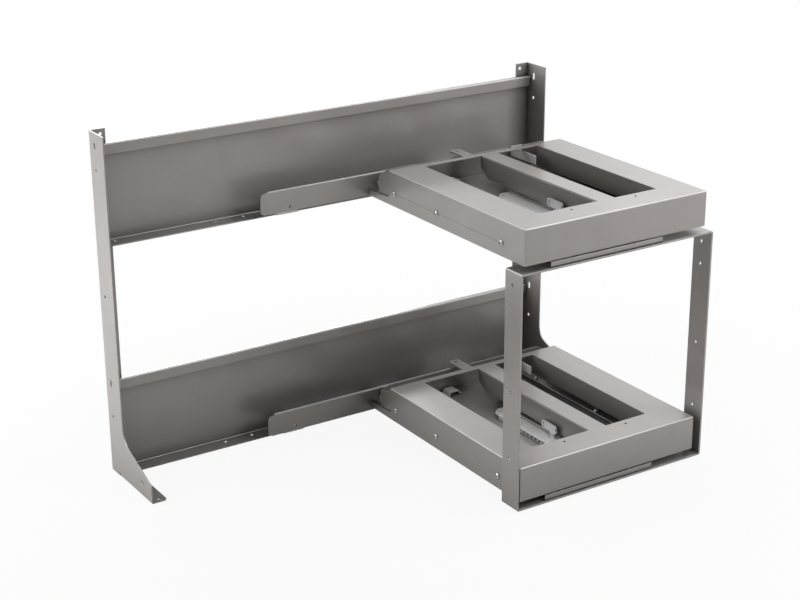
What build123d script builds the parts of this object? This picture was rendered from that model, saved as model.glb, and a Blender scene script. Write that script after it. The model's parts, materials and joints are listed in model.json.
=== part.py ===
"""Corner pull-out unit: a back frame, two windowed decks, a front frame on ball slides, two rear arms.

Millimetres, +Z up, front facing -Y. The origin is at the middle of the footprint, on the floor.
Left and right are the viewer's, standing in front of the unit.
"""
import os

from build123d import *

os.makedirs("parts", exist_ok=True)

# Driving dimensions: the whole unit, which fits a 900 mm corner cabinet
overall_width = 864
overall_depth = 514
overall_height = 592
left = -overall_width / 2
right = overall_width / 2
front = -overall_depth / 2
back = overall_depth / 2

# Uprights: folded angle, gusset foot and foot flange
upright_sheet = 2
side_flange = 55
back_flange = 27.5
gusset_top = 72
toe_depth = 159
toe_height = 32
foot_flange_start = 36
cabinet_hole_line = 21
cabinet_slot_heights = (570, 164)
cabinet_hole_heights = (530, 317, 104)
hole_diameter = 6
slot_length = 13
slot_width = 6
toe_hole_inset = 16
toe_hole_setback = 9
relief_width = 3
relief_height = 5

# Rails: folded panels across the uprights
rail_sheet = 1.5
rail_height = 164
lip_depth = 12.8
lip_height = 18
rail_flange = 34.5
rail_flange_trim = 12
rail_bend = 2
rail_hole_line = 14
rail_hole_places = (28, 209, 261)
flange_bolt_line = 20
bolt_head = 11
bolt_head_height = 4

# Decks: two alike, one above the other
deck_width = 366
deck_depth = 386
deck_height = 59.5
deck_sheet = 1.5
deck_bend = 2.5
deck_left = left + 482
deck_right = deck_left + deck_width
deck_front = front + 4
deck_rear = deck_front + deck_depth
deck_middle_x = (deck_left + deck_right) / 2
seam_height = 22
seam_gap = 0.4
seam_front = front + 62
window_left_margin = 64.5
left_window = 117.5
centre_strip = 35.5
right_window = 86.5
front_strip = 54
rear_strip = 12.5
well_depth = 50
window_flange = 37
flange_cut_length = 22
flange_cut_height = 15
ear_length = 34
ear_drop = 14
rear_wall_height = 50
tongue_length = 64
tongue_height = 13
tongue_foot = 20
deck_screw_places = (116, -12, -192)
screw_head = 7.5
top_hole_places = (171, 301)
top_hole_line = 42
top_hole = 5
rear_hole = 4
rear_hole_insets = (76, 74)

# Left and right edges of the two windows, and their front and rear edges
window_x = (
    deck_left + window_left_margin,
    deck_left + window_left_margin + left_window,
    deck_left + window_left_margin + left_window + centre_strip,
    deck_left + window_left_margin + left_window + centre_strip + right_window,
)
window_rear = deck_rear - rear_strip
window_front = deck_front + front_strip
window_middle_y = (window_rear + window_front) / 2
window_depth = window_rear - window_front

# Rear tab and support arms
tab_width = 22
tab_reach = 49
tab_sheet = 2
tab_left = left + 639
arm_places = (left + 535, left + 800)
arm_width = 28
arm_thickness = 3
arm_bend = 4

# Front frame: flat bar bent and welded to a rectangle
frame_left = left + 474
frame_width = 388.5
frame_bar = 42
frame_thickness = 3
frame_corner = 3.5
frame_hole_line = 24
frame_hole_heights = (384, 345, 205, 90)

# Ball slides: width and depth of each section, balls and travel
ball = 3
slide_sheet = 1.2
slide_race = 17.1
slide_depth = 8.8
middle_wall = 14.95
middle_web = 2.3
middle_lip = 7.65
middle_lip_reach = 2.8
inner_race = 12.88
inner_race_depth = 5.6
inner_wall = 10.8
slide_thin_sheet = 1
slide_travel = 330
slide_length = 340
slide_rear = back - 165
slide_centres = (left + 556, left + 732)
carriage_sheet = 2
carriage_depth = 70
carriage_flange = 7
carriage_setback = 2.5
carriage_left = left + 532
carriage_right = left + 756
carriage_screw_places = (carriage_left + 68, carriage_right - 68)
carriage_screw_y = front + 21
cage_bar = 1.6
cage_ball = 2.5
cage_setback = slide_travel / 4 + 7.5
cage_length = slide_length - slide_travel / 2 - 9
cage_pitch = 27

# Rear arm and its slide, one behind each deck
arm_plate_left = left + 272
arm_plate_length = 400
arm_plate_height = 38
arm_plate_lift = 10.5
arm_plate_sheet = 2
arm_plate_corner = 9
arm_travel = 180
arm_bolt_places = (left + 505, left + 650)
rear_slide_depth = 10
rear_slide_ball = 4
rear_slide_race = 15
rear_slide_face = back - 45
rear_slide_left = left + 290
rear_slide_length = 370
rear_cage_start = arm_travel / 2 + 5
rear_cage_length = rear_slide_length - arm_travel - 10
rear_bracket_places = (left + 330, left + 620)
rear_bracket_width = 40
rear_bracket_sheet = 2

# Catch slide, guide channel, guide plate and clip on the raised floor of a deck
catch_centre = left + 646.5
catch_half = 17.5
catch_depth = 8
catch_rear = back - 225
catch_length = 200
catch_end = 24
catch_corner = 13
catch_bush = 4.5
catch_screw_middle = catch_centre + 1.8
catch_screw_offset = 8.5
catch_screw_setback = 11
catch_slot_start = 31
catch_slot_length = 146
catch_slot_width = 3.4
catch_runner_start = 90
catch_runner_length = 104
catch_runner_wall = 12.8
catch_race = 14.9
catch_cage_start = 92
catch_cage_length = 70
notch_count = 9
notch_start = 65
notch_pitch = 11
lug_offset = 10.75
lug_start = 21
lug_length = 42
lug_height = 14.5
lug_lift = 5
lug_neck = 12
lug_neck_start = 24
lug_sheet = 1.5
channel_left = left + 749
channel_width = 28
channel_height = 8
channel_start = back - 112
channel_length = 333
guide_plate_x = left + 760
guide_plate_leg = 24
guide_plate_front = back - 167
guide_plate_bottom = 26
guide_plate_height = 16
floor_bolt_x = left + 795
floor_bolt_places = (back - 139, back - 316)
clip_left = left + 608
clip_right = left + 642
clip_front = back - 118
clip_depth = 23

# Heights: floor, lower deck, upper deck, and the frame between them
lower_rail_z = 0
upper_rail_z = 405
lower_deck_z = 18
upper_deck_z = 418
frame_bottom = lower_deck_z - slide_depth - carriage_sheet - frame_thickness
frame_top = upper_deck_z - slide_depth - carriage_sheet
frame_height = frame_top - frame_bottom
tiers = (("lower", lower_deck_z, lower_rail_z), ("upper", upper_deck_z, upper_rail_z))


def keep(piece, name):
    """Label a finished piece and write it out."""
    piece.part.label = name
    export_step(piece.part, f"parts/{name}.step")


def folded(plane, points, bend, sheet, width):
    """A strip of sheet folded along its middle line, and as wide as asked along the plane's normal."""
    with BuildPart() as strip:
        with BuildSketch(plane):
            with BuildLine():
                FilletPolyline(*points, radius=bend)
            trace(line_width=sheet)
        extrude(amount=width)
    return strip


# Uprights
with BuildPart() as left_upright:
    with BuildSketch(Plane.YZ.offset(left)) as side_outline:
        with BuildLine():
            Polyline(
                (back, 0),
                (back, overall_height),
                (back - side_flange, overall_height),
                (back - side_flange, gusset_top),
                (back - toe_depth, toe_height),
                (back - toe_depth, 0),
                close=True,
            )
        make_face()
        toe_corner, gusset_corner = side_outline.vertices().sort_by(Axis.Y)[2:4]
        fillet(gusset_corner, radius=30)
        fillet(toe_corner, radius=5)
        with Locations(*[(back - cabinet_hole_line, z) for z in cabinet_slot_heights]):
            SlotOverall(slot_length, slot_width, rotation=90, mode=Mode.SUBTRACT)
        with Locations(*[(back - cabinet_hole_line, z) for z in cabinet_hole_heights]):
            Circle(hole_diameter / 2, mode=Mode.SUBTRACT)
        with Locations((back - 126, 23)):
            SlotOverall(slot_length, slot_width, rotation=30, mode=Mode.SUBTRACT)
        with Locations((back - foot_flange_start + relief_width / 2, relief_height / 2)):
            Rectangle(relief_width, relief_height, mode=Mode.SUBTRACT)
    extrude(amount=upright_sheet)
    with BuildSketch(Plane.XZ.offset(-back)):
        with Locations((left + back_flange / 2, overall_height / 2)):
            Rectangle(back_flange, overall_height)
        with Locations((left + 19, overall_height - 9), (left + 19, 9)):
            Circle(hole_diameter / 2, mode=Mode.SUBTRACT)
    extrude(amount=upright_sheet)
    with BuildSketch(Plane.XY) as foot_outline:
        with Locations((left + back_flange / 2, back - (toe_depth + foot_flange_start) / 2)):
            Rectangle(back_flange, toe_depth - foot_flange_start)
        fillet(foot_outline.vertices().group_by(Axis.X)[-1], radius=6)
        with Locations((left + toe_hole_inset, back - toe_depth + toe_hole_setback)):
            Circle(hole_diameter / 2, mode=Mode.SUBTRACT)
    extrude(amount=upright_sheet)
    outer_fold = left_upright.edges().filter_by(Axis.Z).group_by(Axis.X)[0].sort_by(Axis.Y)[-1]
    fillet(outer_fold, radius=upright_sheet)
    bottom_edges = left_upright.edges().filter_by(Axis.Y).group_by(Axis.Z)[0]
    foot_fold = bottom_edges.group_by(Axis.X)[0].sort_by(Axis.Y)[0]
    fillet(foot_fold, radius=upright_sheet)
keep(left_upright, "left_upright")

with BuildPart() as right_upright:
    mirror(left_upright.part, about=Plane.YZ)
keep(right_upright, "right_upright")

# Rails, behind whose webs the uprights' back flanges lie
for tier, _, rail_z in tiers:
    half_sheet = rail_sheet / 2
    web = back - upright_sheet - half_sheet
    lip = back - lip_depth + half_sheet
    top = rail_z + rail_height - half_sheet
    with BuildPart() as rail:
        with BuildSketch(Plane.YZ.offset(left + upright_sheet + 0.2)):
            with BuildLine():
                FilletPolyline(
                    (lip, top - lip_height + half_sheet),
                    (lip, top),
                    (web, top),
                    (web, rail_z + half_sheet),
                    (back - rail_flange, rail_z + half_sheet),
                    radius=rail_bend,
                )
            trace(line_width=rail_sheet)
        extrude(amount=overall_width - 2 * upright_sheet - 0.4)
        with BuildSketch(Plane.XY.offset(rail_z)):
            for side in (-1, 1):
                with Locations((side * (right - rail_flange_trim / 2), back - rail_flange / 2 - 4)):
                    Rectangle(rail_flange_trim, rail_flange)
                with Locations(*[(side * (right - x), back - rail_hole_line) for x in rail_hole_places]):
                    Circle(hole_diameter / 2)
        extrude(amount=rail_sheet * 2, mode=Mode.SUBTRACT)
    keep(rail, f"{tier}_rail")

# Bolts that hold the support arms and the rear brackets down on the rails' bottom flanges
with BuildPart() as flange_bolts:
    for rail_z in (lower_rail_z, upper_rail_z):
        with BuildSketch(Plane.XY.offset(rail_z + rail_sheet + arm_thickness)):
            with Locations(*[(x, back - flange_bolt_line) for x in arm_places]):
                RegularPolygon(bolt_head / 2, 6)
        extrude(amount=bolt_head_height)
        with BuildSketch(Plane.XY.offset(rail_z + rail_sheet + rear_bracket_sheet)):
            with Locations(*[(x, back - flange_bolt_line) for x in rear_bracket_places]):
                RegularPolygon(bolt_head / 2, 6)
        extrude(amount=bolt_head_height)
keep(flange_bolts, "flange_bolts")


def deck_cover(deck_z):
    """Top sheet with two windows, the flanges folded down round them, and the front and side walls."""
    top = deck_z + deck_height
    middle_y = (deck_front + deck_rear) / 2
    with BuildPart() as cover:
        with BuildSketch(Plane.XY.offset(deck_z)):
            with Locations((deck_middle_x, middle_y)):
                Rectangle(deck_width, deck_depth)
        extrude(amount=deck_height)
        folds = cover.edges().filter_by(Axis.Z).group_by(Axis.Y)[0]
        folds += cover.edges().group_by(Axis.Z)[-1].filter_by(Axis.Y)
        folds += cover.edges().group_by(Axis.Z)[-1].sort_by(Axis.Y)[:1]
        fillet(folds, radius=deck_bend)
        open_faces = cover.faces().filter_by(Axis.Z).sort_by(Axis.Z)[:1]
        open_faces += cover.faces().filter_by(Axis.Y).sort_by(Axis.Y)[-1:]
        offset(amount=-deck_sheet, openings=open_faces)
        with BuildSketch(Plane.XY.offset(top)):
            for x0, x1 in (window_x[:2], window_x[2:]):
                with Locations(((x0 + x1) / 2, window_middle_y)):
                    Rectangle(x1 - x0, window_depth)
            with Locations(*[(x, deck_front + top_hole_line) for x in top_hole_places]):
                Circle(top_hole / 2)
            with Locations(
                (deck_left + rear_hole_insets[0], deck_rear - rear_strip / 2),
                (deck_right - rear_hole_insets[1], deck_rear - rear_strip / 2),
            ):
                Circle(rear_hole / 2)
        extrude(amount=-deck_sheet * 2, mode=Mode.SUBTRACT)
        with BuildSketch(Plane.XY.offset(top - window_flange)):
            with Locations(((window_x[0] + window_x[3]) / 2, window_middle_y - deck_sheet / 2)):
                Rectangle(window_x[3] - window_x[0] + 2 * deck_sheet, window_depth + deck_sheet)
            with Locations(((window_x[0] + window_x[3]) / 2, window_middle_y)):
                Rectangle(window_x[3] - window_x[0], window_depth, mode=Mode.SUBTRACT)
        extrude(amount=window_flange - deck_sheet)
        with BuildSketch(Plane.XY.offset(deck_z - 1)):
            with Locations((deck_middle_x, (seam_front + deck_rear) / 2)):
                Rectangle(deck_width + 2, deck_rear - seam_front)
                Rectangle(deck_width - 20, deck_rear - seam_front, mode=Mode.SUBTRACT)
        extrude(amount=seam_height + seam_gap / 2 + 1, mode=Mode.SUBTRACT)
    return cover


def deck_tray(deck_z):
    """Raised floor between two side webs, with a rear wall that joins their ears behind the cover."""
    outer = deck_width / 2 - deck_sheet - 0.3
    floor_z = deck_z + deck_height - well_depth - deck_sheet / 2
    top = deck_z + deck_height - deck_sheet - deck_bend
    web_x = outer - deck_sheet / 2
    ear_rear = deck_rear + ear_length
    with BuildPart() as tray:
        with BuildSketch(Plane.XY.offset(floor_z - deck_sheet / 2)):
            with Locations((deck_middle_x, (deck_front + 6 + ear_rear) / 2)):
                Rectangle(2 * outer, ear_rear - deck_front - 6)
        extrude(amount=deck_sheet)
        with BuildSketch(Plane.XZ.offset(-ear_rear)):
            with BuildLine():
                Polyline(
                    (deck_middle_x - outer, floor_z),
                    (deck_middle_x - outer, top - ear_drop),
                    (deck_middle_x - outer + 16, deck_z + rear_wall_height),
                    (deck_middle_x + outer - 16, deck_z + rear_wall_height),
                    (deck_middle_x + outer, top - ear_drop),
                    (deck_middle_x + outer, floor_z),
                    close=True,
                )
            make_face()
        extrude(amount=deck_sheet)
        for side in (-1, 1):
            with BuildSketch(Plane.YZ.offset(deck_middle_x + side * web_x - deck_sheet / 2)):
                with BuildLine():
                    Polyline(
                        (deck_front + 6, deck_z + deck_sheet),
                        (deck_front + 6, top),
                        (deck_rear + 4, top),
                        (ear_rear, top - ear_drop),
                        (ear_rear, deck_z + deck_sheet),
                        close=True,
                    )
                make_face()
            extrude(amount=deck_sheet)
    return tray


def deck_pan(deck_z):
    """Bottom sheet with low side strips that end in tongues behind the deck."""
    strip_top = deck_z + seam_height - seam_gap / 2
    tongue_rear = deck_rear + tongue_length
    with BuildPart() as pan:
        with BuildSketch(Plane.XY.offset(deck_z)) as bottom_outline:
            with Locations((deck_middle_x, (deck_front + deck_sheet + 0.5 + deck_rear) / 2)):
                Rectangle(deck_width, deck_depth - deck_sheet - 0.5)
            for side in (-1, 1):
                foot_x = deck_middle_x + side * (deck_width - tongue_foot) / 2
                with Locations((foot_x, deck_rear + tongue_length / 2 - 5)):
                    Rectangle(tongue_foot, tongue_length + 10)
                corner_x = deck_middle_x + side * deck_width / 2
                with Locations((corner_x, (deck_front + seam_front) / 2)):
                    Rectangle(2 * deck_sheet + 0.6, seam_front - deck_front, mode=Mode.SUBTRACT)
        extrude(amount=deck_sheet)
        for side in (-1, 1):
            strip_x = deck_middle_x + side * (deck_width - deck_sheet) / 2 - deck_sheet / 2
            with BuildSketch(Plane.YZ.offset(strip_x)):
                with BuildLine():
                    Polyline(
                        (seam_front, deck_z),
                        (seam_front, strip_top),
                        (deck_rear - 6, strip_top),
                        (deck_rear + 2, deck_z + tongue_height),
                        (tongue_rear, deck_z + tongue_height - 3),
                        (tongue_rear, deck_z),
                        close=True,
                    )
                make_face()
            extrude(amount=deck_sheet)
    return pan


def centre_beam(deck_z):
    """Channel under the strip between the windows, its webs cut slantwise at the rear."""
    top = deck_z + deck_height - deck_sheet
    low = deck_z + deck_height - window_flange
    half = deck_sheet / 2
    channel = folded(
        Plane.XZ.offset(-window_rear),
        (
            (window_x[1] + half, low),
            (window_x[1] + half, top - half),
            (window_x[2] - half, top - half),
            (window_x[2] - half, low),
        ),
        0.8,
        deck_sheet,
        window_depth,
    )
    with BuildPart() as beam:
        add(channel.part)
        with BuildSketch(Plane.YZ.offset(window_x[1] - 1)):
            with BuildLine():
                Polyline(
                    (window_rear + 1, low - 1),
                    (window_rear + 1, low + flange_cut_height),
                    (window_rear, low + flange_cut_height),
                    (window_rear - flange_cut_length, low),
                    (window_rear - flange_cut_length, low - 1),
                    close=True,
                )
            make_face()
        extrude(amount=centre_strip + 2, mode=Mode.SUBTRACT)
    return beam


def rear_tab(deck_z):
    """Flat tab under the cover's rear strip that reaches back, with a hole near its rounded end."""
    top = deck_z + deck_height - deck_sheet
    tab_front = window_rear + 1
    tab_rear = deck_rear + tab_reach
    with BuildPart() as tab:
        with BuildSketch(Plane.XY.offset(top - tab_sheet)) as tab_outline:
            with Locations((tab_left + tab_width / 2, (tab_front + tab_rear) / 2)):
                Rectangle(tab_width, tab_rear - tab_front)
            fillet(tab_outline.vertices().group_by(Axis.Y)[-1], radius=5)
            with Locations((tab_left + tab_width / 2, tab_rear - 9)):
                Circle(hole_diameter / 2, mode=Mode.SUBTRACT)
        extrude(amount=tab_sheet)
    return tab


def support_arms(deck_z, rail_z):
    """Two cranked flat bars from under the pan to the top of the rail's bottom flange."""
    half = arm_thickness / 2
    low = rail_z + rail_sheet + half
    high = deck_z - half
    with BuildPart() as arms:
        for arm_x in arm_places:
            with BuildSketch(Plane.YZ.offset(arm_x - arm_width / 2)):
                with BuildLine():
                    FilletPolyline(
                        (back - 5.5, low),
                        (back - 70, low),
                        (back - 95, high),
                        (back - 158, high),
                        radius=arm_bend,
                    )
                trace(line_width=arm_thickness)
            extrude(amount=arm_width)
    return arms


# Sections of the ball slides, drawn about the middle of the mounting face
def outer_section(plane, race, ball_size, length):
    """Outer member: a web whose two edges curl round the balls."""
    radius = ball_size / 2 + 0.05 + slide_sheet / 2
    web = slide_sheet / 2
    with BuildPart() as member:
        with BuildSketch(plane):
            with BuildLine():
                ThreePointArc((-race, web + 2 * radius), (-race - radius, web + radius), (-race, web))
                Line((-race, web), (race, web))
                ThreePointArc((race, web), (race + radius, web + radius), (race, web + 2 * radius))
            trace(line_width=slide_sheet)
        extrude(amount=length)
    return member


def channel_section(plane, wall, near, far, sheet, length):
    """Inner member: a channel whose web is at the far depth and whose walls run back to the near depth."""
    points = ((-wall, near), (-wall, far), (wall, far), (wall, near))
    return folded(plane, points, 1, sheet, length)


def middle_section(plane, length):
    """Middle member: a web between the other two, with lips under the inner row of balls."""
    points = (
        (middle_lip_reach - middle_wall, middle_lip),
        (-middle_wall, middle_lip),
        (-middle_wall, middle_web),
        (middle_wall, middle_web),
        (middle_wall, middle_lip),
        (middle_wall - middle_lip_reach, middle_lip),
    )
    return folded(plane, points, 1.4, slide_thin_sheet, length)


def cage_strips(plane, race, depth, bar, ball_size, length, pitch):
    """Ball cage: one strip along each race, with its balls as short drums in the pockets."""
    count = int(length // pitch)
    with BuildPart() as cage:
        with BuildSketch(plane):
            with Locations((-race, depth), (race, depth)):
                Rectangle(bar, bar)
        extrude(amount=length)
        ball_plane = Plane(
            origin=plane.from_local_coords((0, depth - bar / 2, length / 2)),
            x_dir=plane.x_dir,
            z_dir=plane.y_dir,
        )
        with BuildSketch(ball_plane):
            with GridLocations(2 * race, pitch, 2, count):
                RegularPolygon(ball_size / 2, 6)
        extrude(amount=bar)
    return cage


def slide_plane(centre, z, y):
    """Section plane of a slide that hangs under a deck and runs forward from y."""
    return Plane(origin=(centre, y, z), x_dir=(-1, 0, 0), z_dir=(0, -1, 0))


for tier, deck_z, rail_z in tiers:
    keep(deck_cover(deck_z), f"{tier}_deck_cover")
    keep(deck_tray(deck_z), f"{tier}_deck_tray")
    keep(deck_pan(deck_z), f"{tier}_deck_pan")
    keep(centre_beam(deck_z), f"{tier}_centre_beam")
    keep(rear_tab(deck_z), f"{tier}_rear_tab")
    keep(support_arms(deck_z, rail_z), f"{tier}_support_arms")

# Side screws of both decks, on the seam between cover and pan, and the bolts on the raised floors
with BuildPart() as deck_screws:
    for _, deck_z, _ in tiers:
        for y in deck_screw_places:
            with Locations(
                Location((deck_left, y, deck_z + seam_height), (0, -90, 0)),
                Location((deck_right, y, deck_z + seam_height), (0, 90, 0)),
            ):
                Cone(screw_head / 2, screw_head / 4, 2.2, align=(Align.CENTER, Align.CENTER, Align.MIN))
        with BuildSketch(Plane.XY.offset(deck_z + deck_height - well_depth)):
            with Locations(*[(floor_bolt_x, y) for y in floor_bolt_places]):
                RegularPolygon(bolt_head / 2, 6)
        extrude(amount=bolt_head_height)
keep(deck_screws, "deck_screws")

# Floor feet of the lower deck
with BuildPart() as floor_feet:
    with BuildSketch(Plane.XY):
        with Locations(*[(x, y) for x in (left + 515, left + 800) for y in (back - 200, back - 440)]):
            Circle(12)
    extrude(amount=lower_deck_z)
keep(floor_feet, "floor_feet")

# Front frame
with BuildPart() as front_frame:
    with BuildSketch(Plane.XZ.offset(-front - frame_bar)):
        with Locations((frame_left + frame_width / 2, frame_bottom + frame_height / 2)):
            RectangleRounded(frame_width, frame_height, frame_corner)
            RectangleRounded(
                frame_width - 2 * frame_thickness,
                frame_height - 2 * frame_thickness,
                frame_corner - frame_thickness,
                mode=Mode.SUBTRACT,
            )
    extrude(amount=frame_bar)
    with BuildSketch(Plane.YZ.offset(frame_left - 1)):
        with Locations(*[(front + frame_hole_line, z) for z in frame_hole_heights]):
            Circle(hole_diameter / 2)
    extrude(amount=frame_width + 2, mode=Mode.SUBTRACT)
keep(front_frame, "front_frame")

# Carriage plate and three-part ball slides under each deck
for tier, deck_z, rail_z in tiers:
    plate_bottom = deck_z - slide_depth - carriage_sheet
    flange_y = front + carriage_setback + carriage_sheet / 2
    with BuildPart() as carriage_plate:
        with BuildSketch(Plane.YZ.offset(carriage_left)):
            with BuildLine():
                FilletPolyline(
                    (flange_y, plate_bottom + carriage_sheet + carriage_flange),
                    (flange_y, plate_bottom + carriage_sheet / 2),
                    (flange_y + carriage_depth, plate_bottom + carriage_sheet / 2),
                    radius=1.5,
                )
            trace(line_width=carriage_sheet)
        extrude(amount=carriage_right - carriage_left)
    keep(carriage_plate, f"{tier}_carriage_plate")
    for side, centre in zip(("left", "right"), slide_centres):
        section = slide_plane(centre, deck_z, slide_rear)
        keep(outer_section(section, slide_race, ball, slide_length), f"{tier}_{side}_slide_outer")
        middle = middle_section(section.offset(3), slide_length - 3)
        keep(middle, f"{tier}_{side}_slide_middle")
        inner_web = slide_depth - slide_thin_sheet / 2
        inner = channel_section(
            section.offset(6), inner_wall, 3.6, inner_web, slide_thin_sheet, slide_length - 3
        )
        keep(inner, f"{tier}_{side}_slide_inner")

# Screws that hold the carriage plates on the frame's bars
with BuildPart() as carriage_screws:
    for _, deck_z, _ in tiers:
        with BuildSketch(Plane.XY.offset(deck_z - slide_depth)):
            with Locations(*[(x, carriage_screw_y) for x in carriage_screw_places]):
                RegularPolygon(bolt_head / 2, 6)
        extrude(amount=bolt_head_height / 2)
keep(carriage_screws, "carriage_screws")

# Ball cages of the slides under the decks, which follow at a quarter and three quarters of the travel
outer_race_depth = slide_sheet / 2 + ball / 2 + 0.05 + slide_sheet / 2
for name, race, race_depth in (
    ("outer_cages", slide_race, outer_race_depth),
    ("inner_cages", inner_race, inner_race_depth),
):
    with BuildPart() as cages:
        for _, deck_z, _ in tiers:
            for centre in slide_centres:
                section = slide_plane(centre, deck_z, slide_rear - cage_setback)
                add(cage_strips(section, race, race_depth, cage_bar, cage_ball, cage_length, cage_pitch).part)
    keep(cages, name)

# Rear arms: a plate on a two-part slide that two brackets carry on the rail's bottom flange
arm_plate_face = rear_slide_face - rear_slide_depth
rear_slide_middle = arm_plate_lift + arm_plate_height / 2
for tier, _, rail_z in tiers:
    slide_z = rail_z + rear_slide_middle
    section = Plane(
        origin=(rear_slide_left, rear_slide_face, slide_z), x_dir=(0, 0, 1), z_dir=(1, 0, 0)
    )
    slide_outer = outer_section(section, rear_slide_race, rear_slide_ball, rear_slide_length)
    keep(slide_outer, f"{tier}_rear_slide_outer")

    rear_wall = rear_slide_race - rear_slide_ball / 2 - 0.05 - slide_thin_sheet / 2
    rear_web = rear_slide_depth - slide_thin_sheet / 2
    slide_inner = channel_section(
        section.offset(3), rear_wall, 2, rear_web, slide_thin_sheet, rear_slide_length
    )
    keep(slide_inner, f"{tier}_rear_slide_inner")

    rear_race_depth = slide_sheet + rear_slide_ball / 2 + 0.05
    keep(
        cage_strips(
            section.offset(rear_cage_start),
            rear_slide_race,
            rear_race_depth,
            cage_bar,
            rear_slide_ball - 0.6,
            rear_cage_length,
            cage_pitch,
        ),
        f"{tier}_rear_cage",
    )

    with BuildPart() as rear_arm:
        with BuildSketch(Plane.XZ.offset(-arm_plate_face)) as arm_outline:
            with Locations((arm_plate_left + arm_plate_length / 2, slide_z)):
                Rectangle(arm_plate_length, arm_plate_height)
            fillet(arm_outline.vertices().group_by(Axis.X)[0], radius=arm_plate_corner)
            fillet(arm_outline.vertices().group_by(Axis.X)[-1], radius=3)
            with Locations((arm_plate_left + 54, rail_z + arm_plate_lift + 9)):
                Circle(hole_diameter / 2, mode=Mode.SUBTRACT)
        extrude(amount=arm_plate_sheet)
    keep(rear_arm, f"{tier}_rear_arm")

    with BuildPart() as arm_bolts:
        with BuildSketch(Plane.XZ.offset(arm_plate_sheet - arm_plate_face)):
            with Locations(*[(x, slide_z) for x in arm_bolt_places]):
                RegularPolygon(bolt_head / 2, 6)
        extrude(amount=bolt_head_height)
    keep(arm_bolts, f"{tier}_arm_bolts")

    leg_y = rear_slide_face + rear_bracket_sheet / 2
    base_z = rail_z + rail_sheet + rear_bracket_sheet / 2
    with BuildPart() as rear_brackets:
        for x in rear_bracket_places:
            with BuildSketch(Plane.YZ.offset(x - rear_bracket_width / 2)):
                with BuildLine():
                    FilletPolyline((back - 8, base_z), (leg_y, base_z), (leg_y, slide_z + 16), radius=2.5)
                trace(line_width=rear_bracket_sheet)
            extrude(amount=rear_bracket_width)
    keep(rear_brackets, f"{tier}_rear_brackets")


def catch_rail(section, floor_z):
    """Outer member of the catch slide: an inverted channel with a long slot, a raised end on two bushes."""
    top = floor_z + catch_depth
    wall = catch_half - slide_thin_sheet / 2
    web = catch_depth - slide_thin_sheet / 2
    raceway = channel_section(
        section.offset(catch_end - 1), wall, 0, web, slide_thin_sheet, catch_length - catch_end + 1
    )
    screw_places = [
        (catch_screw_middle + side * catch_screw_offset, catch_rear - catch_screw_setback)
        for side in (-1, 1)
    ]
    with BuildPart() as rail_part:
        add(raceway.part)
        with BuildSketch(Plane.XY.offset(top - slide_thin_sheet)) as end_outline:
            with Locations((catch_centre, catch_rear - catch_end / 2)):
                Rectangle(2 * catch_half, catch_end)
            chamfer(end_outline.vertices().group_by(Axis.Y)[-1].sort_by(Axis.X)[0], length=catch_corner)
        extrude(amount=slide_thin_sheet)
        with BuildSketch(Plane.XY.offset(floor_z)):
            with Locations(*screw_places):
                Circle(catch_bush)
        extrude(amount=catch_depth - slide_thin_sheet)
        with BuildSketch(Plane.XY.offset(floor_z)):
            with Locations(*screw_places):
                Circle(2.5)
        extrude(amount=catch_depth, mode=Mode.SUBTRACT)
        slot_middle = catch_rear - catch_slot_start - catch_slot_length / 2
        with BuildSketch(Plane.XY.offset(top - slide_thin_sheet)):
            with Locations((catch_centre + lug_offset, slot_middle)):
                Rectangle(catch_slot_width, catch_slot_length)
            with Locations((catch_centre + 2, catch_rear - 144)):
                Rectangle(2.5, 10)
        extrude(amount=slide_thin_sheet, mode=Mode.SUBTRACT)
        for step in range(notch_count):
            notch_y = catch_rear - notch_start - step * notch_pitch
            with Locations((catch_centre - catch_half, notch_y, floor_z + 3.6)):
                Box(3, 5.5, 4, mode=Mode.SUBTRACT)
    return rail_part


def catch_runner(section, floor_z):
    """Inner member of the catch slide, whose lug stands up through the slot, with a hole and two studs."""
    rail_top = floor_z + catch_depth
    floor_gap = 1.8
    runner_channel = channel_section(
        section.offset(catch_runner_start),
        catch_runner_wall,
        5.6,
        floor_gap,
        slide_thin_sheet,
        catch_runner_length,
    )
    lug_rear = catch_rear - catch_runner_start - lug_start
    lug_middle = lug_rear - lug_length / 2
    neck_middle = lug_rear - lug_neck_start - lug_neck / 2
    neck_height = catch_depth - floor_gap + lug_lift + 2
    lug_face = catch_centre + lug_offset - lug_sheet / 2
    with BuildPart() as runner:
        add(runner_channel.part)
        with BuildSketch(Plane.YZ.offset(lug_face)):
            with Locations((lug_middle, rail_top + lug_lift + lug_height / 2)):
                RectangleRounded(lug_length, lug_height, 5)
            with Locations((neck_middle, floor_z + floor_gap + neck_height / 2)):
                Rectangle(lug_neck, neck_height)
            with Locations((lug_rear - 6, rail_top + lug_lift + 3.5)):
                Circle(1.8, mode=Mode.SUBTRACT)
        extrude(amount=lug_sheet)
        with Locations(
            Location((lug_face, lug_rear - 4.5, rail_top + lug_lift + 10.2), (0, -90, 0)),
            Location((lug_face, lug_rear - lug_length + 4, rail_top + lug_lift + 7), (0, -90, 0)),
        ):
            Cylinder(2.6, 1.8, align=(Align.CENTER, Align.CENTER, Align.MIN))
    return runner


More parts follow.
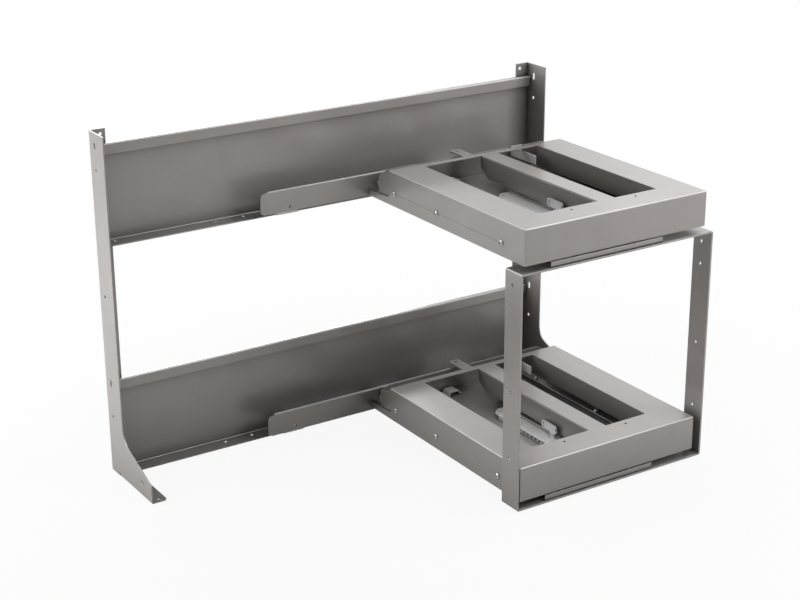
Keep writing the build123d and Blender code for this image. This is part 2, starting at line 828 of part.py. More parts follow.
# Catch slide, guide channel and guide plate on the raised floor of each deck
for tier, deck_z, _ in tiers:
    floor_z = deck_z + deck_height - well_depth
    section = Plane(origin=(catch_centre, catch_rear, floor_z), x_dir=(1, 0, 0), z_dir=(0, -1, 0))
    keep(catch_rail(section, floor_z), f"{tier}_catch_rail")
    keep(catch_runner(section, floor_z), f"{tier}_catch")
    keep(
        cage_strips(
            section.offset(catch_cage_start),
            catch_race,
            3.6,
            cage_bar,
            cage_ball,
            catch_cage_length,
            notch_pitch,
        ),
        f"{tier}_catch_cage",
    )

    channel_right = channel_left + channel_width
    channel = folded(
        Plane.XZ.offset(-channel_start),
        (
            (channel_left + 0.75, floor_z + channel_height),
            (channel_left + 0.75, floor_z + 0.75),
            (channel_right - 0.75, floor_z + 0.75),
            (channel_right - 0.75, floor_z + channel_height),
        ),
        1.5,
        1.5,
        channel_length,
    )
    keep(channel, f"{tier}_guide_channel")

    wall_y = deck_rear + ear_length - deck_sheet
    guide_plate = folded(
        Plane.XY.offset(floor_z + guide_plate_bottom),
        (
            (guide_plate_x + guide_plate_leg, wall_y - 0.75),
            (guide_plate_x, wall_y - 0.75),
            (guide_plate_x, guide_plate_front),
        ),
        2,
        1.5,
        guide_plate_height,
    )
    keep(guide_plate, f"{tier}_guide_plate")

# Spring clips: hat-shaped strips behind the left windows
with BuildPart() as spring_clips:
    for _, deck_z, _ in tiers:
        foot_z = deck_z + deck_height - well_depth + 0.5
        clip = folded(
            Plane.XZ.offset(-clip_front - clip_depth),
            (
                (clip_left, foot_z),
                (clip_left + 6, foot_z),
                (clip_left + 8, foot_z + 6),
                (clip_right - 8, foot_z + 6),
                (clip_right - 6, foot_z),
                (clip_right, foot_z),
            ),
            0.8,
            1,
            clip_depth,
        )
        add(clip.part)
keep(spring_clips, "spring_clips")
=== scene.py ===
import json
import math

import bpy
import numpy as np
from mathutils import Matrix, Vector


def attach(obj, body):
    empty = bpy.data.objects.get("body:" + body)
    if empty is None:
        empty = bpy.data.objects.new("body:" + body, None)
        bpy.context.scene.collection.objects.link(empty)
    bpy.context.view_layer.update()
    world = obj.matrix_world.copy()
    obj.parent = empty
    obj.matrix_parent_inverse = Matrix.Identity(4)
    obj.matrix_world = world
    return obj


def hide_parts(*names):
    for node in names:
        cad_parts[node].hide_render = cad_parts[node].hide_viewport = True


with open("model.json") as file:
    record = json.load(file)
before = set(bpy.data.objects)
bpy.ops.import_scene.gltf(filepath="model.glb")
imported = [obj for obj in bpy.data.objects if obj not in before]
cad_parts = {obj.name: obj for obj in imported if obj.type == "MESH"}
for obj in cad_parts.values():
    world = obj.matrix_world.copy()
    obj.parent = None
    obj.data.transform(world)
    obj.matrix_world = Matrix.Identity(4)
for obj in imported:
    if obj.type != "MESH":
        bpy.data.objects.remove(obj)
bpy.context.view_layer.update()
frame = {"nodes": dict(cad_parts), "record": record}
nodes = frame["nodes"]
print("frame loaded:", len(nodes), "nodes")

scene = bpy.context.scene
scene.view_settings.view_transform = "Standard"
millimetre = 0.001


def linearColour(hexColour):
    # each sRGB channel c becomes c / 12.92 below 0.04045, and ((c + 0.055) / 1.055) ** 2.4 above it
    channels = [int(hexColour[i:i + 2], 16) / 255 for i in (1, 3, 5)]
    values = [c / 12.92 if c <= 0.04045 else ((c + 0.055) / 1.055) ** 2.4 for c in channels]
    return (*values, 1.0)


def addNode(tree, kind, settings, inputs):
    # settings are the node's own properties; an input is a value or another node's output socket
    node = tree.nodes.new(kind)
    for name, value in settings.items():
        setattr(node, name, value)
    for name, value in inputs.items():
        if isinstance(value, bpy.types.NodeSocket):
            tree.links.new(value, node.inputs[name])
        else:
            node.inputs[name].default_value = value
    return node


def emptyMaterial(name):
    material = bpy.data.materials.new(name)
    material.use_nodes = True
    material.node_tree.nodes.clear()
    return material, material.node_tree


# Camera: the photograph's viewpoint, solved from the unit's own right angles
cameraSettings = {
    "place": (-1.4404, -2.2289, 1.2892),
    "azimuth": -32.623,
    "elevation": 20.519,
    "roll": -0.353,
    "lens": 77.35,           # mm
    "sensor": 36,            # mm
    "nearest": 0.05,         # m
    "furthest": 50,          # m
}


def makeCamera(settings):
    # back points from the unit to the lens: (sin a cos e, -cos a cos e, sin e)
    azimuth = math.radians(settings["azimuth"])
    elevation = math.radians(settings["elevation"])
    roll = math.radians(settings["roll"])
    back = Vector((
        math.sin(azimuth) * math.cos(elevation),
        -math.cos(azimuth) * math.cos(elevation),
        math.sin(elevation),
    ))
    level = (-back).cross(Vector((0, 0, 1))).normalized()
    upright = level.cross(-back)
    sideways = math.cos(roll) * level + math.sin(roll) * upright
    upwards = -math.sin(roll) * level + math.cos(roll) * upright
    data = bpy.data.cameras.new("photoCamera")
    data.sensor_width = settings["sensor"]
    data.lens = settings["lens"]
    data.clip_start = settings["nearest"]
    data.clip_end = settings["furthest"]
    camera = bpy.data.objects.new("photoCamera", data)
    turn = Matrix((sideways, upwards, back)).transposed().to_4x4()
    camera.matrix_world = Matrix.Translation(settings["place"]) @ turn
    scene.collection.objects.link(camera)
    scene.camera = camera


makeCamera(cameraSettings)
print("camera placed")


# Studio: a pale floor, soft lamps, and a white surround that the camera, metal and glass see
studioSettings = {
    "floorSize": 14.0,           # m
    "floorDrop": 0.0005,         # m under the unit
    "floorColour": "#f4f4f3",
    "floorShadow": 0.08,         # share of the floor's own shading that the camera sees near the unit
    "shadowReach": (0.5, 1.5),   # m from the unit's middle, where that share starts to fade and is gone
    "mirroredShadow": 0.6,       # the same share in a mirror
    "fillLight": 0.05,           # the surround's light on matt surfaces
    "dimSide": 0.2,              # what a mirror sees of the studio in front of the unit; behind it is white
    "dimTurn": 0.4,              # how far a mirrored direction points to the front or back for all of either
    "ceiling": (0.45, 0.75),     # rise of a mirrored direction at which the white ceiling starts and is full
}
lampSettings = {
    # name: place, aimed at, size, power
    "overheadSoftbox": ((0.75, -0.45, 1.8), (0.2, -0.05, 0.3), (0.9, 0.9), 7.0),
    "leftRearSoftbox": ((-1.45, 0.85, 0.85), (-0.43, 0.23, 0.35), (1.3, 1.2), 16.5),
    "leftSoftbox": ((-1.9, 0.15, 0.7), (-0.4, 0.2, 0.3), (0.9, 1.1), 1.0),
    "frontSoftbox": ((0.85, -1.05, 0.95), (0.2, -0.1, 0.4), (1.0, 1.0), 8.4),
    "rightRearSoftbox": ((1.3, 0.6, 1.4), (0.25, 0.0, 0.45), (0.8, 0.8), 3.0),
    "backdropSoftbox": ((0.2, 2.3, 1.0), (0.2, 0.0, 0.4), (2.6, 0.8), 30.0),
    "rightFill": ((2.6, -0.2, 0.6), (0.4, -0.1, 0.3), (1.2, 0.9), 6.0),
}


def makeSurround(settings):
    # strength is 1 for the lens and through glass and fillLight for matt surfaces; a mirror sees dimSide
    # in front, 1 behind and 1 overhead
    world = bpy.data.worlds.new("studioSurround")
    world.use_nodes = True
    tree = world.node_tree
    tree.nodes.clear()
    rays = addNode(tree, "ShaderNodeLightPath", {}, {})
    direction = addNode(tree, "ShaderNodeTexCoord", {}, {})
    sides = addNode(tree, "ShaderNodeSeparateXYZ", {}, {"Vector": direction.outputs["Generated"]})
    mirrored = addNode(tree, "ShaderNodeMapRange", {}, {
        "Value": sides.outputs["Y"],
        "From Min": -settings["dimTurn"],
        "From Max": settings["dimTurn"],
        "To Min": settings["dimSide"],
        "To Max": 1.0,
    })
    overhead = addNode(tree, "ShaderNodeMapRange", {}, {
        "Value": sides.outputs["Z"],
        "From Min": settings["ceiling"][0],
        "From Max": settings["ceiling"][1],
    })
    brightest = addNode(tree, "ShaderNodeMath", {"operation": "MAXIMUM"}, {
        0: mirrored.outputs[0],
        1: overhead.outputs[0],
    })
    metal = addNode(tree, "ShaderNodeMix", {"data_type": "FLOAT"}, {
        0: rays.outputs["Is Glossy Ray"],
        2: settings["fillLight"],
        3: brightest.outputs[0],
    })
    shown = addNode(tree, "ShaderNodeMath", {"operation": "MAXIMUM"}, {
        0: rays.outputs["Is Camera Ray"],
        1: rays.outputs["Is Transmission Ray"],
    })
    level = addNode(tree, "ShaderNodeMix", {"data_type": "FLOAT"}, {
        0: shown.outputs[0],
        2: metal.outputs[0],
        3: 1.0,
    })
    light = addNode(tree, "ShaderNodeBackground", {}, {"Color": (1, 1, 1, 1), "Strength": level.outputs[0]})
    addNode(tree, "ShaderNodeOutputWorld", {}, {"Surface": light.outputs[0]})
    scene.world = world


def makeFloor(settings):
    # a flat square of matt backdrop paper, which shows nothing but the unit's soft shadow
    half = settings["floorSize"] / 2
    drop = -settings["floorDrop"]
    corners = [(-half, -half, drop), (half, -half, drop), (half, half, drop), (-half, half, drop)]
    mesh = bpy.data.meshes.new("studioFloor")
    mesh.from_pydata(corners, [], [(0, 1, 2, 3)])
    floor = bpy.data.objects.new("studioFloor", mesh)
    scene.collection.objects.link(floor)
    material, tree = emptyMaterial("paperFloor")
    rays = addNode(tree, "ShaderNodeLightPath", {}, {})
    paper = addNode(tree, "ShaderNodeBsdfDiffuse", {}, {"Color": linearColour(settings["floorColour"])})
    white = addNode(tree, "ShaderNodeEmission", {}, {"Color": (1, 1, 1, 1), "Strength": 1.0})
    shown = addNode(tree, "ShaderNodeMath", {"operation": "MAXIMUM"}, {
        0: rays.outputs["Is Camera Ray"],
        1: rays.outputs["Is Transmission Ray"],
    })
    mirrored = addNode(tree, "ShaderNodeMath", {"operation": "MULTIPLY"}, {
        0: rays.outputs["Is Glossy Ray"],
        1: 1 - settings["mirroredShadow"],
    })
    place = addNode(tree, "ShaderNodeTexCoord", {}, {})
    away = addNode(tree, "ShaderNodeVectorMath", {"operation": "LENGTH"}, {0: place.outputs["Object"]})
    bare = addNode(tree, "ShaderNodeMapRange", {"interpolation_type": "SMOOTHSTEP"}, {
        "Value": away.outputs["Value"],
        "From Min": settings["shadowReach"][0],
        "From Max": settings["shadowReach"][1],
        "To Min": 1 - settings["floorShadow"],
        "To Max": 1.0,
    })
    share = addNode(tree, "ShaderNodeMath", {"operation": "MULTIPLY_ADD"}, {
        0: shown.outputs[0],
        1: bare.outputs[0],
        2: mirrored.outputs[0],
    })
    mixed = addNode(tree, "ShaderNodeMixShader", {}, {
        0: share.outputs[0],
        1: paper.outputs[0],
        2: white.outputs[0],
    })
    addNode(tree, "ShaderNodeOutputMaterial", {}, {"Surface": mixed.outputs[0]})
    mesh.materials.append(material)


def makeLamps(settings):
    for name, (place, target, size, power) in settings.items():
        data = bpy.data.lights.new(name, "AREA")
        data.shape = "RECTANGLE"
        data.size, data.size_y = size
        data.energy = power
        lamp = bpy.data.objects.new(name, data)
        direction = Vector(target) - Vector(place)
        turn = direction.to_track_quat("-Z", "Y").to_matrix().to_4x4()
        lamp.matrix_world = Matrix.Translation(place) @ turn
        lamp.visible_camera = False
        scene.collection.objects.link(lamp)


makeSurround(studioSettings)
makeFloor(studioSettings)
makeLamps(lampSettings)
print("studio lit")


# Rounded normals and masks for folds and edges, and painted shade in corners, which the materials below share
shadeSamples = 6             # rays for each rounded edge and each corner
opennessRange = (0.2, 0.95)  # open share of the surroundings that counts as shut, and as open


def edgeNormal(tree, radius):
    # the bevel node averages the normals within the radius, so a sharp edge shades as if it were rounded
    rounded = addNode(tree, "ShaderNodeBevel", {"samples": shadeSamples}, {"Radius": radius * millimetre})
    return rounded.outputs[0]


def foldShare(tree, normal, turns):
    # sheets lie square to the axes, so a normal whose largest part is well under 1 is on a fold or an edge:
    # the share is 0 where that part is over the first turn and 1 where it is under the second
    upright = addNode(tree, "ShaderNodeVectorMath", {"operation": "ABSOLUTE"}, {0: normal})
    parts = addNode(tree, "ShaderNodeSeparateXYZ", {}, {"Vector": upright.outputs[0]})
    flatter = addNode(tree, "ShaderNodeMath", {"operation": "MAXIMUM"}, {
        0: parts.outputs[0],
        1: parts.outputs[1],
    })
    largest = addNode(tree, "ShaderNodeMath", {"operation": "MAXIMUM"}, {
        0: flatter.outputs[0],
        1: parts.outputs[2],
    })
    share = addNode(tree, "ShaderNodeMapRange", {}, {
        "Value": largest.outputs[0],
        "From Min": turns[0],
        "From Max": turns[1],
    })
    return share.outputs[0]


def edgeShare(tree, normal, turns):
    # the turns are cosines of the angle between the rounded normal and the face: the share is 0 at the
    # first and 1 at the second
    face = addNode(tree, "ShaderNodeNewGeometry", {}, {})
    match = addNode(tree, "ShaderNodeVectorMath", {"operation": "DOT_PRODUCT"}, {
        0: normal,
        1: face.outputs["Normal"],
    })
    share = addNode(tree, "ShaderNodeMapRange", {}, {
        "Value": match.outputs["Value"],
        "From Min": turns[0],
        "From Max": turns[1],
    })
    return share.outputs[0]


def paintedShadeTone(tree, tone, reach, left):
    # painted shade: the open share of the surroundings within the reach scales the colour, from left when
    # shut to 1
    openness = addNode(tree, "ShaderNodeAmbientOcclusion", {"samples": shadeSamples}, {
        "Distance": reach * millimetre,
    })
    shade = addNode(tree, "ShaderNodeMapRange", {}, {
        "Value": openness.outputs["AO"],
        "From Min": opennessRange[0],
        "From Max": opennessRange[1],
        "To Min": left,
        "To Max": 1.0,
    })
    grey = addNode(tree, "ShaderNodeCombineColor", {}, {
        "Red": shade.outputs[0],
        "Green": shade.outputs[0],
        "Blue": shade.outputs[0],
    })
    dimmed = addNode(tree, "ShaderNodeMix", {"data_type": "RGBA", "blend_type": "MULTIPLY"}, {
        0: 1.0,
        6: tone,
        7: grey.outputs[0],
    })
    return dimmed.outputs[2]


# Satin powder coat: sprayed polyester, baked; an even grey with a faint orange-peel skin and soft gloss
# the colour carries painted shade in corners and seams and painted highlights on folds and edges
powderCoatSettings = {
    "lighter": "#b0aaa6",
    "darker": "#a49e9a",
    "cloudSize": 60,         # mm, slow drift of the film's thickness
    "peelSize": 2.4,         # mm; the real skin is about 1 mm, drawn coarser so that it shows
    "peelHeight": 0.012,     # mm
    "peelDrawn": 4,          # the skin is drawn so many times higher, to show at the coarser size
    "peelStrength": 0.35,
    "roughness": 0.42,
    "roughnessDrift": 0.05,  # how far the skin moves the roughness up and down
    "ior": 1.5,
    "flakes": 0.15,          # share of the light that the aluminium flakes throw back
    "lacquer": 0.9,
    "lacquerRoughness": 0.2,
    "edgeRadius": 0.9,       # mm, how far the film rounds a cut edge
    "paintedEdgeTone": "#d6d3cf",       # painted highlight: folds and edges are drawn in this lighter colour
    "edgeShine": 0.5,        # share that the steel under it throws back there
    "edgeTurns": (0.94, 0.76),   # largest part of the normal where a fold starts to take the painted highlight and shine, and takes them fully
    "paintedShadeReach": 150,      # mm, how far the painted shade reaches from a corner or a wall
    "paintedShadeLeft": 0.42,          # share of the colour that the painted shade leaves deep in a corner
    "seamReach": 7,          # mm, the same painted shade for the narrow seams where sheets meet
    "seam": 0.3,
}


def powderCoat(name, settings):
    material, tree = emptyMaterial(name)
    place = addNode(tree, "ShaderNodeTexCoord", {}, {})
    cloud = addNode(tree, "ShaderNodeTexNoise", {}, {
        "Vector": place.outputs["Object"],
        "Scale": 1 / (settings["cloudSize"] * millimetre),
        "Detail": 3.0,
    })
    tone = addNode(tree, "ShaderNodeMix", {"data_type": "RGBA"}, {
        0: cloud.outputs[0],
        6: linearColour(settings["darker"]),
        7: linearColour(settings["lighter"]),
    })
    peel = addNode(tree, "ShaderNodeTexNoise", {}, {
        "Vector": place.outputs["Object"],
        "Scale": 1 / (settings["peelSize"] * millimetre),
        "Detail": 2.0,
    })
    gloss = addNode(tree, "ShaderNodeMapRange", {}, {
        "Value": peel.outputs[0],
        "To Min": settings["roughness"] - settings["roughnessDrift"],
        "To Max": settings["roughness"] + settings["roughnessDrift"],
    })
    edgeTurn = edgeNormal(tree, settings["edgeRadius"])
    fold = foldShare(tree, edgeTurn, settings["edgeTurns"])
    # painted shade near corners, and a painted highlight on folds and edges
    wearAndPaintedLight = addNode(tree, "ShaderNodeMix", {"data_type": "RGBA"}, {
        0: fold,
        6: paintedShadeTone(tree, tone.outputs[2], settings["paintedShadeReach"], settings["paintedShadeLeft"]),
        7: linearColour(settings["paintedEdgeTone"]),
    })
    shine = addNode(tree, "ShaderNodeMapRange", {}, {
        "Value": fold,
        "To Min": settings["flakes"],
        "To Max": settings["edgeShine"],
    })
    skin = addNode(tree, "ShaderNodeBump", {}, {
        "Height": peel.outputs[0],
        "Strength": settings["peelStrength"],
        "Distance": settings["peelHeight"] * millimetre * settings["peelDrawn"],
        "Normal": edgeTurn,
    })
    # the base colour adds painted shade in the narrow seams
    shader = addNode(tree, "ShaderNodeBsdfPrincipled", {}, {
        "Base Color": paintedShadeTone(tree, wearAndPaintedLight.outputs[2], settings["seamReach"], settings["seam"]),
        "Roughness": gloss.outputs[0],
        "IOR": settings["ior"],
        "Metallic": shine.outputs[0],
        "Coat Weight": settings["lacquer"],
        "Coat Roughness": settings["lacquerRoughness"],
        "Normal": skin.outputs[0],
        "Coat Normal": skin.outputs[0],
    })
    addNode(tree, "ShaderNodeOutputMaterial", {}, {"Surface": shader.outputs[0]})
    return material


# Bright zinc on rolled steel: electroplated; a pale mirror broken by rolling lines and a cloudy film
# the colour carries painted shade in corners and a painted tone on edges
zincSettings = {
    "colour": "#fbfbfa",
    "darker": "#eaebeb",
    "filmSize": 9,           # mm
    "rollingSize": 0.8,      # mm between rolling lines
    "rollingStretch": 0.02,  # size of the pattern across the lines as a share of that along them
    "rollingHeight": 0.02,   # mm
    "rollingStrength": 0.25,
    "roughness": 0.32,
    "glossier": 0.1,         # how far the lines take the roughness down and up
    "duller": 0.12,
    "bare": 0.18,            # share that mirrors as metal; the rest is the pale chromate film
    "edgeRadius": 0.5,       # mm
    "paintedEdgeTone": "#f7f7f6",
    "edgeTurns": (0.98, 0.77),   # cosine of the turn where an edge starts to show and shows fully
    "paintedShadeReach": 3,        # mm, how far the painted shade reaches from a corner
    "paintedShadeLeft": 0.3,
}

# Guide channel steel: dark grey all over, with painted highlights on its edges
guideSettings = {
    **zincSettings,
    "colour": "#5c5b5a",
    "darker": "#4a4948",
    "edgeRadius": 1.3,       # mm
    # painted highlight: the edges are drawn white
    "paintedEdgeTone": "#ffffff",
}

# Polished zinc screws: turned heads, plated and tumbled; small bright mirrors, with painted shade in the
# socket and darker painted edges
polishedSettings = {
    **zincSettings,
    "colour": "#d9d9d8",
    "darker": "#c6c7c7",
    "filmSize": 3,           # mm
    "roughness": 0.26,
    "bare": 0.9,
    "paintedEdgeTone": "#bcbcbb",
    "paintedShadeReach": 4,        # mm, how far the painted shade reaches from a corner
    "paintedShadeLeft": 0.05,
}


def zincPlate(name, settings, along):
    material, tree = emptyMaterial(name)
    place = addNode(tree, "ShaderNodeTexCoord", {}, {})
    film = addNode(tree, "ShaderNodeTexNoise", {}, {
        "Vector": place.outputs["Object"],
        "Scale": 1 / (settings["filmSize"] * millimetre),
        "Detail": 4.0,
    })
    tone = addNode(tree, "ShaderNodeMix", {"data_type": "RGBA"}, {
        0: film.outputs[0],
        6: linearColour(settings["darker"]),
        7: linearColour(settings["colour"]),
    })
    # the lines run along the piece, so the pattern is squeezed across it and stretched along it
    fine = 1 / (settings["rollingSize"] * millimetre)
    coarse = fine * settings["rollingStretch"]
    stretch = (coarse, fine, fine) if along == "x" else (fine, coarse, fine)
    drawn = addNode(tree, "ShaderNodeMapping", {}, {"Vector": place.outputs["Object"], "Scale": stretch})
    lines = addNode(tree, "ShaderNodeTexNoise", {}, {
        "Vector": drawn.outputs[0],
        "Scale": 1.0,
        "Detail": 2.0,
    })
    gloss = addNode(tree, "ShaderNodeMapRange", {}, {
        "Value": lines.outputs[0],
        "To Min": settings["roughness"] - settings["glossier"],
        "To Max": settings["roughness"] + settings["duller"],
    })
    edgeTurn = edgeNormal(tree, settings["edgeRadius"])
    # painted shade near corners, and the painted edge tone on edges
    wearAndPaintedLight = addNode(tree, "ShaderNodeMix", {"data_type": "RGBA"}, {
        0: edgeShare(tree, edgeTurn, settings["edgeTurns"]),
        6: paintedShadeTone(tree, tone.outputs[2], settings["paintedShadeReach"], settings["paintedShadeLeft"]),
        7: linearColour(settings["paintedEdgeTone"]),
    })
    skin = addNode(tree, "ShaderNodeBump", {}, {
        "Height": lines.outputs[0],
        "Strength": settings["rollingStrength"],
        "Distance": settings["rollingHeight"] * millimetre,
        "Normal": edgeTurn,
    })
    shader = addNode(tree, "ShaderNodeBsdfPrincipled", {}, {
        "Base Color": wearAndPaintedLight.outputs[2],
        "Metallic": settings["bare"],
        "Roughness": gloss.outputs[0],
        "Normal": skin.outputs[0],
    })
    addNode(tree, "ShaderNodeOutputMaterial", {}, {"Surface": shader.outputs[0]})
    return material


# Black polyamide feet: injection moulded; nearly black with a fine spark-eroded grain
footSettings = {
    "colour": "#1d1d1f",
    "wearAndPaintedLight": "#2a2a2c",
    "grainSize": 1.2,        # mm; the real grain is finer, drawn coarser so that it shows
    "grainHeight": 0.05,     # mm
    "grainStrength": 0.4,
    "roughness": 0.55,
}


def mouldedPolyamide(name, settings):
    material, tree = emptyMaterial(name)
    place = addNode(tree, "ShaderNodeTexCoord", {}, {})
    grain = addNode(tree, "ShaderNodeTexNoise", {}, {
        "Vector": place.outputs["Object"],
        "Scale": 1 / (settings["grainSize"] * millimetre),
        "Detail": 3.0,
    })
    tone = addNode(tree, "ShaderNodeMix", {"data_type": "RGBA"}, {
        0: grain.outputs[0],
        6: linearColour(settings["colour"]),
        7: linearColour(settings["wearAndPaintedLight"]),
    })
    skin = addNode(tree, "ShaderNodeBump", {}, {
        "Height": grain.outputs[0],
        "Strength": settings["grainStrength"],
        "Distance": settings["grainHeight"] * millimetre,
    })
    shader = addNode(tree, "ShaderNodeBsdfPrincipled", {}, {
        "Base Color": tone.outputs[2],
        "Roughness": settings["roughness"],
        "Normal": skin.outputs[0],
    })
    addNode(tree, "ShaderNodeOutputMaterial", {}, {"Surface": shader.outputs[0]})
    return material


greyCoat = powderCoat("satinPowderCoat", powderCoatSettings)
zincAlongY = zincPlate("brightZincAlongY", zincSettings, "y")
zincAlongX = zincPlate("brightZincAlongX", zincSettings, "x")
guideSteel = zincPlate("darkGuideSteel", guideSettings, "y")
screwZinc = zincPlate("polishedZincScrews", polishedSettings, "y")
footPlastic = mouldedPolyamide("blackPolyamide", footSettings)
print("materials made")


nodeSlots = {entry["node"]: entry["material_slot"] for entry in frame["record"]["subparts"]}


def dressNode(name):
    # the CAD node keeps its mesh; only its material changes
    if nodeSlots[name] == "black_plastic":
        material = footPlastic
    elif "guide_channel" in name:
        material = guideSteel
    elif nodeSlots[name] == "zinc_steel":
        material = zincAlongX if "rear" in name or "flange" in name else zincAlongY
    else:
        material = greyCoat
    mesh = nodes[name].data
    mesh.materials.clear()
    mesh.materials.append(material)


for nodeName in nodes:
    dressNode(nodeName)
print("nodes dressed")


# Places that the fasteners and the cages share with the CAD, in mm
left = -432
front = -257
back = 257
tiers = {
    "lower": {"deck": 18, "rail": 0},
    "upper": {"deck": 418, "rail": 405},
}
floorHeight = 9.5            # of the raised floor above a deck's underside
rearSlideHeight = 29.5       # of a rear slide's middle above its rail's underside


def turnedSolid(rings, centre, axis, sides=24):
    # rings are (radius, height, corners), and a point is
    # centre + radius * (cos t * u + sin t * v) + height * axis.
    # A ring with corners is a hexagon: its radius is divided by the cosine of the angle from a flat's middle
    rings = np.array(rings, float)
    axis = np.array(axis, float)
    helper = np.array((0, 0, 1.0)) if abs(axis[2]) < 0.9 else np.array((0, 1.0, 0))
    u = np.cross(helper, axis)
    u /= np.linalg.norm(u)
    v = np.cross(axis, u)
    angle = np.arange(sides) * 2 * np.pi / sides
    flat = np.pi / 3
    fromMiddle = (angle + flat / 2) % flat - flat / 2
    radius = np.where(rings[:, 2:3] > 0, rings[:, :1] / np.cos(fromMiddle), rings[:, :1])
    points = (np.array(centre, float)
              + radius[..., None] * (np.cos(angle)[:, None] * u + np.sin(angle)[:, None] * v)
              + rings[:, 1][:, None, None] * axis)
    count = len(rings)
    ring, step = np.meshgrid(np.arange(count - 1), np.arange(sides), indexing="ij")
    ahead = (step + 1) % sides
    quads = np.stack((ring * sides + step, ring * sides + ahead,
                      (ring + 1) * sides + ahead, (ring + 1) * sides + step), -1).reshape(-1, 4)
    base = list(range(sides))[::-1]
    top = list(range((count - 1) * sides, count * sides))
    return points.reshape(-1, 3), quads.tolist() + [base, top]


def makePiece(name, solids, material, body, replaced=(), smooth=40):
    # the solids' points, in mm, go into one mesh in metres; faces that meet under smooth degrees shade as one
    points = np.concatenate([solid[0] for solid in solids]) * millimetre
    faces = []
    start = 0
    for solidPoints, solidFaces in solids:
        faces += [[corner + start for corner in face] for face in solidFaces]
        start += len(solidPoints)
    mesh = bpy.data.meshes.new(name)
    mesh.from_pydata(points.tolist(), [], faces)
    mesh.validate()
    mesh.materials.append(material)
    piece = bpy.data.objects.new(name, mesh)
    scene.collection.objects.link(piece)
    mesh.shade_smooth()
    mesh.set_sharp_from_angle(angle=math.radians(smooth))
    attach(piece, body)
    if replaced:
        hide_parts(*replaced)
    return piece


# Button-head screws on the decks' sides, and the same with washers on the raised floors, all in mm
buttonScrew = {
    "radius": 4.9,
    "rim": 0.35,             # height at which the dome starts
    "height": 2.9,           # of the whole dome, of which the crown cuts off the top
    "crown": 62,             # degrees up the dome at which the crown is
    "narrowing": 0.98,       # the dome narrows by the cosine of this share of the angle
    "rise": 6,               # rings in the dome
    "socket": 2.0,           # from the socket's middle to a flat
    "socketDepth": 2.0,
    "chamferWidth": 0.35,
    "chamferHeight": 0.1,
}
deckScrews = {
    "columns": (left + 482, left + 848),     # the decks' sides
    "lines": (116, -12, -192),
    "height": 22,                            # above the deck's underside
    "floorColumn": left + 795,
    "floorLines": (back - 139, back - 316),
    "washer": ((6, 0, 0), (6, 1, 0), (4.2, 1.6, 0)),     # rings
    "washerLift": 1.2,                       # height of the head's seat on the washer
}


def buttonHead(centre, axis, size):
    # a dome, radius * cos(narrowing * a) wide and height * sin a high over its rim, whose flat crown holds a
    # six-sided socket
    rise = np.linspace(0, math.radians(size["crown"]), size["rise"])
    dome = [(size["radius"] * math.cos(a * size["narrowing"]), size["rim"] + size["height"] * math.sin(a), 0)
            for a in rise]
    crown = dome[-1][1]
    rings = [(size["radius"], 0, 0)] + dome + [
        (size["socket"] + size["chamferWidth"], crown + size["chamferHeight"], 0),
        (size["socket"], crown - size["chamferHeight"], 1),
        (size["socket"], crown - size["socketDepth"], 1),
    ]
    return turnedSolid(rings, centre, axis)


deckScrewSolids = []
for tier in tiers.values():
    for x, outward in zip(deckScrews["columns"], (-1, 1)):
        for y in deckScrews["lines"]:
            place = (x, y, tier["deck"] + deckScrews["height"])
            deckScrewSolids.append(buttonHead(place, (outward, 0, 0), buttonScrew))
    for y in deckScrews["floorLines"]:
        place = (deckScrews["floorColumn"], y, tier["deck"] + floorHeight)
        deckScrewSolids.append(turnedSolid(deckScrews["washer"], place, (0, 0, 1)))
        raised = (deckScrews["floorColumn"], y, tier["deck"] + floorHeight + deckScrews["washerLift"])
        deckScrewSolids.append(buttonHead(raised, (0, 0, 1), buttonScrew))
makePiece("deckScrewHeads", deckScrewSolids, screwZinc, "back_frame_and_decks",
          ("deck_screws",))


# Hexagon bolts with washers on the rails' flanges, the carriage plates and the rear arms, all in mm
hexBolt = {
    "flats": 5.0,            # from the head's middle to a flat
    "height": 4.0,
    "cornerDrop": 0.7,       # the corners end this far under the top
    "turnedInset": 0.05,     # the turned top starts this far inside the flats
    "turnedDrop": 0.15,      # and this far under the top
    "topInset": 0.6,         # the flat of the top is this far inside the flats
    "washer": 6.4,
    "washerSheet": 1.2,
    "washerRim": 0.8,        # share of the washer's height where its edge is broken
    "washerInset": 0.3,
}
flangeBolts = {
    "line": back - 20,
    # x, and the height of the support arm or the bracket above the rail's underside
    "columns": ((left + 535, 4.5), (left + 800, 4.5), (left + 330, 3.5), (left + 620, 3.5)),
}
carriageScrews = {
    "head": {**hexBolt, "height": 1.8, "washerSheet": 0.6},
    "columns": (left + 600, left + 688),
    "line": front + 21,
    "drop": 8.8,             # under the deck's underside
}
armBolts = {
    "columns": (left + 505, left + 650),
    "line": back - 57,       # the front of the rear arms
}


def hexHead(centre, axis, size):
    # a washer under a six-sided head whose top is turned down to a circle just inside the flats
    height = size["height"]
    lift = size["washerSheet"]
    washer = turnedSolid((
        (size["washer"], 0, 0),
        (size["washer"], lift * size["washerRim"], 0),
        (size["washer"] - size["washerInset"], lift, 0),
    ), centre, axis)
    seat = np.array(centre) + lift * np.array(axis)
    head = turnedSolid((
        (size["flats"], 0, 1),
        (size["flats"], height - size["cornerDrop"], 1),
        (size["flats"] - size["turnedInset"], height - size["turnedDrop"], 0),
        (size["flats"] - size["topInset"], height, 0),
    ), seat, axis)
    return [washer, head]


